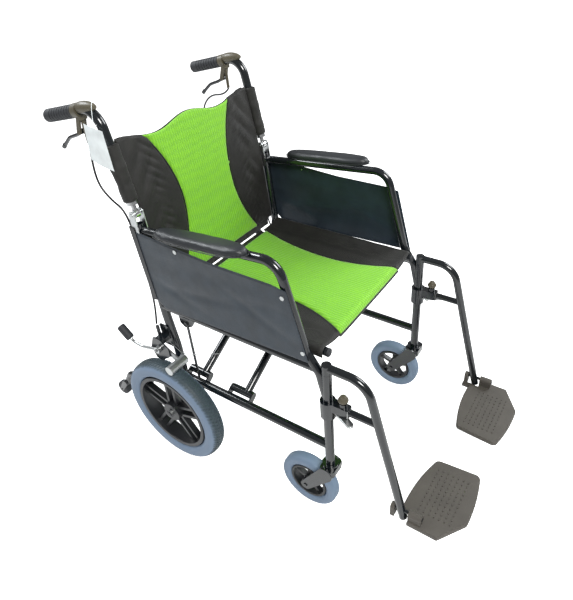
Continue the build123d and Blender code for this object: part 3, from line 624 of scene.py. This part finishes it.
for level in ("lower", "upper"):
    bottom_soft, top_soft = (1, 0) if level == "lower" else (0, 1)
    soft = (bottom_soft, top_soft, 1, 1)
    strips = (
        ("right_side", lambda z: -BACK_EDGE, lambda z: -back_half_width(z), nylon),
        ("mesh", lambda z: -back_half_width(z), back_half_width, mesh_cloth),
        ("left_side", back_half_width, lambda z: BACK_EDGE, nylon),
    )
    for strip_name, low_edge, high_edge, mat in strips:
        panel = back_panel(f"back_{level}_{strip_name}", low_edge, high_edge, level, mat, soft)
        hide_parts("back_upholstery")
        squeeze_back(panel, level)
    backing = back_panel(
        f"back_{level}_backing",
        lambda z: -0.218,
        lambda z: 0.218,
        level,
        nylon,
        soft,
        thickness=0.002,
        shift=0.0062,
    )
    squeeze_back(backing, level)
    for sign in (-1, 1):
        span = (BACK_BOTTOM + 0.003, PIVOT_Z, 30) if level == "lower" else (PIVOT_Z, 0.846, 34)
        heights = np.linspace(*span)
        inset = Vector((0, BACK_THICK / 2 - 0.0014, 0))
        line = [back_point(sign * back_half_width(z), z) - inset for z in heights]
        piping = tube(f"back_{level}_piping_{'left' if sign > 0 else 'right'}", line, 0.0016, nylon)
        squeeze_back(piping, level)

# A plain flap hangs from the back's bottom edge, behind the seat.
FLAP_HALF, FLAP_DROP = 0.203, 0.020
flap_points = [
    [back_point(x, BACK_BOTTOM + 0.002 - FLAP_DROP * share) for x in np.linspace(-FLAP_HALF, FLAP_HALF, 60)]
    for share in np.linspace(0, 1, 12)
]
back_flap = cloth("back_flap", flap_points, 0.003, nylon, reach=0.002)
squeeze_back(back_flap, "lower")

# A roll of the same cloth fills the crease where the lower and upper cloths meet on the folding axis.
for roll_name, start, end, mat in (
    ("right", -BACK_EDGE, -back_half_width(PIVOT_Z), nylon),
    ("mesh", -back_half_width(PIVOT_Z), back_half_width(PIVOT_Z), mesh_cloth),
    ("left", back_half_width(PIVOT_Z), BACK_EDGE, nylon),
):
    roll = tube(
        f"back_crease_{roll_name}",
        [back_point(x, PIVOT_Z) for x in np.linspace(start, end, 24)],
        BACK_THICK / 2 - 0.0004,
        mat,
        smooth_line=False,
    )
    squeeze_back(roll, "lower")


def post_point(rise, sign=-1):
    """The upper back post's axis, rise millimetres above the folding pivot."""
    return at(sign * 237, PIVOT_BACK + rise * math.sin(BACK_LEAN), PIVOT_Z / MM + rise * math.cos(BACK_LEAN))


def sleeve(name):
    """The cloth tube sewn round the right back post."""
    rings = []
    tilt = Matrix.Rotation(-BACK_LEAN, 3, "X")
    for share in np.linspace(0, 1, 46):
        rise = 30 + 128 * share
        flare = 0.0008 * math.sin(share * 13) + 0.0004 * math.sin(share * 31 + 1)
        radius = 0.0165 + 0.0015 * share + flare * math.sin(math.pi * share)
        if share in (0, 1):
            radius = 0.0135
        ring = []
        for angle in np.linspace(0, 2 * math.pi, 40, endpoint=False):
            rumple = 1 + 0.025 * math.sin(3 * angle + share * 9) * math.sin(math.pi * share)
            offset = Vector((math.cos(angle) * radius * rumple, math.sin(angle) * radius * rumple, 0))
            ring.append(post_point(rise) + tilt @ offset)
        rings.append(ring)
    return lofted(name, rings, nylon)


right_sleeve = sleeve("right_back_sleeve")
left_sleeve = mirrored(right_sleeve, "left_back_sleeve")
for side_name, piece in (("right", right_sleeve), ("left", left_sleeve)):
    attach(piece, f"{side_name}_back")

# ---- clothing guards: stretched cloth with soft diagonal folds ------------------------------------------
GUARD_X = -250.6
# (behind, up) along the top edge from front to rear, and the straight bottom edge's ends
GUARD_TOP = ((76, 641), (112, 647), (256, 648), (369, 656), (470, 664), (500, 666))
GUARD_BOTTOM = ((34, 477), (250, 471), (447, 464), (474, 488))
GUARD_FOLDS = (
    ((0.05, 0.92), (0.98, 0.62), 0.10, 1.5),
    ((0.02, 0.7), (0.55, 0.45), 0.07, 1.7),
    ((0.3, 0.5), (0.98, 0.28), 0.06, 2.1),
    ((0.0, 0.15), (0.5, 0.75), 0.05, 1.4),
    ((0.55, 0.1), (1.0, 0.45), 0.05, 1.2),
    ((0.02, 0.98), (0.14, 0.1), 0.035, -1.1),
)


def along_line(line, share):
    """(behind, up) at a share of the way along a broken line, measured by distance behind."""
    where = line[0][0] + (line[-1][0] - line[0][0]) * share
    return where, float(np.interp(where, [p[0] for p in line], [p[1] for p in line]))


def fold_depth(u, v):
    """How far the guard's cloth is pulled in by its folds, in millimetres."""
    depth = 1.6 * math.sin(math.pi * u) * math.sin(math.pi * v)
    for start, end, width, amount in GUARD_FOLDS:
        run = Vector((end[0] - start[0], end[1] - start[1]))
        way = Vector((u - start[0], v - start[1]))
        share = min(max(way.dot(run) / run.length_squared, 0), 1)
        off = (way - run * share).length / width
        depth += amount * math.exp(-off * off) * math.sin(math.pi * min(max(share, 0.03), 0.97))
    edge = min(u, 1 - u, v, 1 - v) / 0.06
    return depth * min(edge, 1)


def guard():
    points = []
    for u in np.linspace(0, 1, 110):
        top, bottom = along_line(GUARD_TOP, u), along_line(GUARD_BOTTOM, u)
        row = []
        for v in np.linspace(0, 1, 56):
            back, up = bottom[0] * (1 - v) + top[0] * v, bottom[1] * (1 - v) + top[1] * v
            row.append(at(GUARD_X + fold_depth(u, v), back, up))
        points.append(row)
    return cloth("right_guard", points, 0.0016, guard_cloth, reach=0.0015)


right_guard = guard()
guard_line = [at(GUARD_X - 1.1, d, z - 5) for d, z in GUARD_TOP[1:]]
guard_hem = stitches("right_guard_stitches", guard_line, nylon)
# A thin black strip on the guard's rear edge, in the black plastic finish, is painted shade: it stands for
# the shaded side of the guard cloth where it wraps round the rear post.
shade_strip_corners = ((489, 674), (505, 677), (480, 481), (467, 484))
shade_strip_rings = []
for x in (GUARD_X - 1.0, GUARD_X - 2.6):
    shade_strip_rings.append([at(x, d, z) for d, z in shade_strip_corners])
guard_shade_strip = lofted("right_guard_strip", shade_strip_rings, rim_plastic)
for piece in (right_guard, guard_hem, guard_shade_strip):
    twin = mirrored(piece, piece.name.replace("right_", "left_"))
    for side_name, made in (("right", piece), ("left", twin)):
        if piece is right_guard:
            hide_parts(f"{side_name}_skirt")
        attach(made, f"{side_name}_side")

# ---- arm pads --------------------------------------------------------------------------------------------
PAD_FROM, PAD_TO = 159.0, 421.0
PAD_X, PAD_HALF = -253.0, 28.0


def arm_axis_z(distance):
    """Height in millimetres of the armrest tube's axis on its long straight run."""
    return 663 + (486 - distance) * 30 / 384


def pad_shape(name, shrink):
    """A long pad with round ends, a crowned top and a flat foot that sits on the tube."""
    rings = []
    for share in np.linspace(0, 1, 64):
        distance = PAD_FROM + shrink + (PAD_TO - PAD_FROM - 2 * shrink) * share
        end = min(share / 0.34, (1 - share) / 0.42, 1)
        width = (PAD_HALF - shrink) * max(1 - (1 - end) ** 2.7, 0.003) ** 0.52
        edge = min(share / 0.09, (1 - share) / 0.09, 1)
        rise = (20.5 - shrink) * math.sqrt(max(1 - (1 - edge) ** 2.6, 0.03))
        foot = arm_axis_z(distance) + 7.5
        ring = []
        for angle in np.linspace(0, 2 * math.pi, 48, endpoint=False):
            x, z = math.cos(angle), math.sin(angle)
            x = math.copysign(abs(x) ** 0.62, x) * width
            z = math.copysign(abs(z) ** (0.72 if z > 0 else 0.4), z) * (rise * 0.62 if z > 0 else rise * 0.38)
            ring.append(at(PAD_X + x, distance, foot + rise * 0.38 + z))
        rings.append(ring)
    return lofted(name, rings, cover)


def inflate(obj, cap):
    """Pumps a closed form up like a stuffed cover, moving no point further than cap."""
    remesh = obj.modifiers.new("remesh", "REMESH")
    remesh.mode = "VOXEL"
    remesh.voxel_size = 0.0045
    bpy.context.view_layer.objects.active = obj
    bpy.ops.object.modifier_apply(modifier=remesh.name)
    before = np.array([v.co for v in obj.data.vertices])
    soft = obj.modifiers.new("cloth", "CLOTH")
    soft.settings.use_pressure = True
    soft.settings.uniform_pressure_force = 4
    soft.settings.effector_weights.gravity = 0
    scene = bpy.context.scene
    for step in range(1, 21):
        scene.frame_set(step)
    after_object = obj.evaluated_get(bpy.context.evaluated_depsgraph_get())
    after = np.array([v.co for v in after_object.data.vertices])
    obj.modifiers.remove(soft)
    scene.frame_set(1)
    move = after - before
    length = np.linalg.norm(move, axis=1, keepdims=True)
    move *= np.minimum(1, cap / np.maximum(length, 1e-9))
    for vertex, place in zip(obj.data.vertices, before + move):
        vertex.co = place
    finer = obj.modifiers.new("finer", "SUBSURF")
    finer.levels = finer.render_levels = 1
    bpy.ops.object.modifier_apply(modifier=finer.name)
    obj.data.shade_smooth()


right_pad = pad_shape("right_arm_pad_cover", 1.6)
inflate(right_pad, 0.0016)
seam_points = []
for angle in np.linspace(0, 2 * math.pi, 120):
    share = 0.5 - 0.5 * math.cos(angle)
    end = min(share / 0.34, (1 - share) / 0.42, 1)
    width = (PAD_HALF + 0.2) * max(1 - (1 - end) ** 2.7, 0.0) ** 0.52
    distance = PAD_FROM + (PAD_TO - PAD_FROM) * share
    seam_x = PAD_X + math.copysign(width, math.sin(angle))
    seam_points.append(at(seam_x, distance, arm_axis_z(distance) + 12.5))
pad_seam = tube("right_arm_pad_seam", seam_points, 0.0011, cover)
for piece in (right_pad, pad_seam):
    twin = mirrored(piece, piece.name.replace("right_", "left_"))
    for side_name, made in (("right", piece), ("left", twin)):
        if piece is right_pad:
            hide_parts(f"{side_name}_arm_pad")
        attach(made, f"{side_name}_side")

# ---- rear tyres with their tread blocks ------------------------------------------------------------------
TYRE_R, TYRE_HALF, TYRE_X = 0.155, 0.025, 0.290
BEAD_R = 0.1142
TREAD_ROWS = (-0.0185, -0.0118, -0.004, 0.004, 0.0118, 0.0185)
TREAD_COUNT = 92
TREAD_DEPTH = 0.0017


def tyre_section(t):
    """(x offset, radius) round the tyre's section: t from -1 at one bead over the crown to 1 at the other."""
    angle = t * math.radians(128)
    width = TYRE_HALF * math.copysign(abs(math.sin(angle)) ** 0.82, t)
    middle = (TYRE_R - TREAD_DEPTH + BEAD_R) / 2
    height = (TYRE_R - TREAD_DEPTH - BEAD_R) / 2
    if abs(t) > 0.86:
        pull = (abs(t) - 0.86) / 0.14
        width *= 1 - 0.25 * pull
    up = math.cos(angle)
    radius = middle + height * math.copysign(abs(up) ** 0.8, up) * (1 if up > 0 else 1.45)
    return width, max(radius, BEAD_R)


def crown(x):
    """Radius of the tread surface at an offset from the tyre's centre plane."""
    steps = np.linspace(-0.55, 0.55, 60)
    section = [tyre_section(t) for t in steps]
    return float(np.interp(x, [s[0] for s in section], [s[1] for s in section]))


def wheel_point(sign, x, radius, angle, centre):
    return centre + Vector((sign * x, radius * math.sin(angle), radius * math.cos(angle)))


for side_name, sign in SIDES:
    centre = at(sign * TYRE_X / MM, *AXLE["rear"])
    rubber = tyre_rubber(f"{side_name}_rear_rubber", centre, TYRE_R, 0.0045)
    angles = np.linspace(0, 2 * math.pi, 144, endpoint=False)
    sections = [tyre_section(t) for t in np.linspace(-1, 1, 40)]
    verts = [wheel_point(1, x, r, a, centre) for x, r in sections for a in angles]
    faces, size = [], len(angles)
    for i in range(len(sections)):
        for j in range(size):
            following = (i + 1) % len(sections)
            here, there, beside = i * size, following * size, (j + 1) % size
            faces.append((here + j, here + beside, there + beside, there + j))
    carcass = new_object(f"{side_name}_rear_tyre_body", verts, faces, rubber)
    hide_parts(f"{side_name}_rear_tyre")
    verts, faces = [], []
    for row, x in enumerate(TREAD_ROWS):
        for k in range(TREAD_COUNT):
            middle = (k + (0.5 if row % 2 else 0.0)) / TREAD_COUNT * 2 * math.pi
            skew = 0.006 * (1 if x > 0 else -1)
            base = len(verts)
            for lift, shrink in ((-0.0006, 1.0), (TREAD_DEPTH - 0.0002, 0.78)):
                for dx, da in ((-1, -1), (1, -1), (1, 1), (-1, 1)):
                    bx = x + dx * 0.0029 * shrink
                    angle = middle + (da * 0.0033 * shrink + skew * dx * 0.25) / TYRE_R
                    verts.append(wheel_point(1, bx, crown(bx) + lift, angle, centre))
            faces.append((base + 4, base + 5, base + 6, base + 7))
            faces += [(base + i, base + (i + 1) % 4, base + 4 + (i + 1) % 4, base + 4 + i) for i in range(4)]
            faces.append((base + 3, base + 2, base + 1, base))
    tread = new_object(f"{side_name}_rear_tread", verts, faces, rubber, smooth=False)
    for piece in (carcass, tread):
        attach(piece, f"{side_name}_rear_wheel")
    hub_place = at(sign * 315.0, *AXLE["rear"])
    hub_cap = dome(f"{side_name}_hub_cap", hub_place, 0.0105, 0.0028, (sign, 0, 0), rim_plastic)
    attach(hub_cap, f"{side_name}_rear_wheel")

# ---- brake cables: the CAD routes, drawn as smooth bends --------------------------------------------------
NEAR_LOOP = ((591, 851), (600, 804), (598, 752), (566, 722), (527, 704))
FAR_LOOP = ((591, 851), (606, 832), (664, 826), (702, 782), (690, 726), (620, 690))
POST_RUN = ((237, 512, 640), (237, 508, 560), (237, 502, 492), (243, 496, 440), (257, 488, 404))
HOUSING_LENGTHS = (0.488, 0.616)      # right and left, as the CAD cable's own centreline has them
for (side_name, sign), loop, real_length in zip(SIDES, (NEAR_LOOP, FAR_LOOP), HOUSING_LENGTHS):
    route = [at(sign * 237, d, z) for d, z in loop] + [at(sign * x, d, z) for x, d, z in POST_RUN]
    housing = tube(f"{side_name}_cable_housing", route, 0.0025, cable_skin, resolution=10)
    centreline(route)
    wire_x = sign * 259.9
    wire = tube(
        f"{side_name}_cable_wire",
        [
            at(wire_x, 451, 364),
            at(wire_x, 425, 350),
            at(wire_x, 409, 342),
            at(sign * 248, 384, 341.5),
            at(sign * 215, 327, 344),
        ],
        0.0009,
        zinc,
    )
    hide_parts(f"{side_name}_brake_cable")
    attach(wire, f"{side_name}_side")
    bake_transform(housing)

# ---- care card that hangs from the right handle ------------------------------------------------------------
card_white = moulded("card_white", (0.74, 0.79, 0.8), 0.4, 300.0, 0.1)
CARD = ((502, 899), (559, 908), (565, 828), (496, 813))
points = []
for u in np.linspace(0, 1, 24):
    row = []
    for v in np.linspace(0, 1, 30):
        top = [CARD[0][i] * (1 - u) + CARD[1][i] * u for i in (0, 1)]
        bottom = [CARD[3][i] * (1 - u) + CARD[2][i] * u for i in (0, 1)]
        back, up = top[0] * (1 - v) + bottom[0] * v, top[1] * (1 - v) + bottom[1] * v
        row.append(at(-259.5 - 2.5 * math.sin(math.pi * u) * (0.4 + v), back, up))
    points.append(row)
card = cloth("hang_card", points, 0.0009, card_white, reach=0.002)
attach(card, "right_back")
CARD_LOOP = (
    *((-257, 530, 900), (-251, 536, 920), (-240, 541, 951)),
    *((-228, 541, 951), (-222, 537, 925), (-245, 532, 905)),
)
loop = tube(
    "hang_card_loop",
    [at(*place) for place in (*CARD_LOOP, CARD_LOOP[0])],
    0.0007,
    card_white,
)
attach(loop, "right_back")

# ---- dome caps over the bends of the push handles ---------------------------------------------------------
for side_name, sign in SIDES:
    rings = []
    for share in np.linspace(0, 1, 22):
        swell = max(math.sin(math.pi * (0.04 + 0.92 * share)), 0.05) ** 0.6
        back, up = 611 - 74 * share, 925 + 9 * share
        ring = []
        for turn in np.linspace(0, 2 * math.pi, 25)[:-1]:
            x = sign * (237 + 14.5 * swell * math.cos(turn))
            ring.append(at(x, back, up + 4 + 13.5 * swell * math.sin(turn)))
        rings.append(ring)
    cap = lofted(f"{side_name}_handle_cap", rings, olive_plastic)
    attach(cap, f"{side_name}_back")

# ---- camera, light and floor ---------------------------------------------------------------------------
LENS, SENSOR = 32.86, 36.0
EYE = Vector((-0.9274, FRONT_POST_Y - 0.4473, 1.2474))
LOOK = Vector((0.6823, 0.4911, -0.5415)).normalized()
ROLL = math.radians(-3.96)
camera_data = bpy.data.cameras.new("camera")
camera_data.lens, camera_data.sensor_width = LENS, SENSOR
camera_data.shift_x, camera_data.shift_y = -0.0217, -0.0557
camera = bpy.data.objects.new("camera", camera_data)
bpy.context.scene.collection.objects.link(camera)
level = LOOK.to_track_quat("-Z", "Y").to_matrix()
right, up = level @ Vector((1, 0, 0)), level @ Vector((0, 1, 0))
turned_right = right * math.cos(ROLL) + up * math.sin(ROLL)
turned_up = up * math.cos(ROLL) - right * math.sin(ROLL)
axes = Matrix((turned_right, turned_up, -LOOK)).transposed()
camera.matrix_world = Matrix.Translation(EYE) @ axes.to_4x4()
bpy.context.scene.camera = camera


def area_light(name, place, target, size, power, colour=(1, 1, 1)):
    data = bpy.data.lights.new(name, "AREA")
    data.shape, data.size, data.energy, data.color = "DISK", size, power, colour
    light = bpy.data.objects.new(name, data)
    aim = (Vector(target) - Vector(place)).to_track_quat("-Z", "Y")
    light.matrix_world = Matrix.Translation(place) @ aim.to_matrix().to_4x4()
    bpy.context.scene.collection.objects.link(light)


area_light("key", (-1.5, -2.0, 3.1), (0, 0, 0.3), 1.3, 105, (1, 0.99, 0.97))
area_light("fill", (2.3, -1.2, 2.4), (0, 0, 0.3), 1.6, 60, (0.95, 0.98, 1))
area_light("rim", (-0.4, 2.4, 2.9), (0, 0, 0.4), 1.4, 85, (0.93, 0.97, 1))
world = bpy.data.worlds.new("studio")
world.use_nodes = True
world.node_tree.nodes["Background"].inputs["Color"].default_value = (1, 1, 1, 1)
world.node_tree.nodes["Background"].inputs["Strength"].default_value = 0.3
world_nodes, world_links = world.node_tree.nodes, world.node_tree.links
seen_white = world_nodes.new("ShaderNodeBackground")
seen_white.inputs["Color"].default_value = (1, 1, 1, 1)
seen_white.inputs["Strength"].default_value = 1.6
to_camera = world_nodes.new("ShaderNodeLightPath")
either = world_nodes.new("ShaderNodeMixShader")
world_links.new(to_camera.outputs["Is Camera Ray"], either.inputs[0])
world_links.new(world_nodes["Background"].outputs[0], either.inputs[1])
world_links.new(seen_white.outputs[0], either.inputs[2])
world_links.new(either.outputs[0], world_nodes["World Output"].inputs["Surface"])
bpy.context.scene.world = world
bpy.context.scene.view_settings.view_transform = "Standard"
floor_finish = Finish("pale_floor", (0.93, 0.93, 0.93), 0.8)
floor_finish.colour_between(floor_finish.noise(3.0), (0.92, 0.92, 0.92), (0.94, 0.94, 0.94))
seen_by_camera = floor_finish.tree.nodes.new("ShaderNodeLightPath")
floor_finish.shader.inputs["Emission Color"].default_value = (1, 1, 1, 1)
floor_glow = floor_finish.shader.inputs["Emission Strength"]
floor_finish.tree.links.new(seen_by_camera.outputs["Is Camera Ray"], floor_glow)
FLOOR_HALF = 9
floor_corners = [(x * FLOOR_HALF, y * FLOOR_HALF, 0) for x, y in ((-1, -1), (1, -1), (1, 1), (-1, 1))]
floor = new_object("floor", floor_corners, [(0, 1, 2, 3)], floor_finish.mat, False)
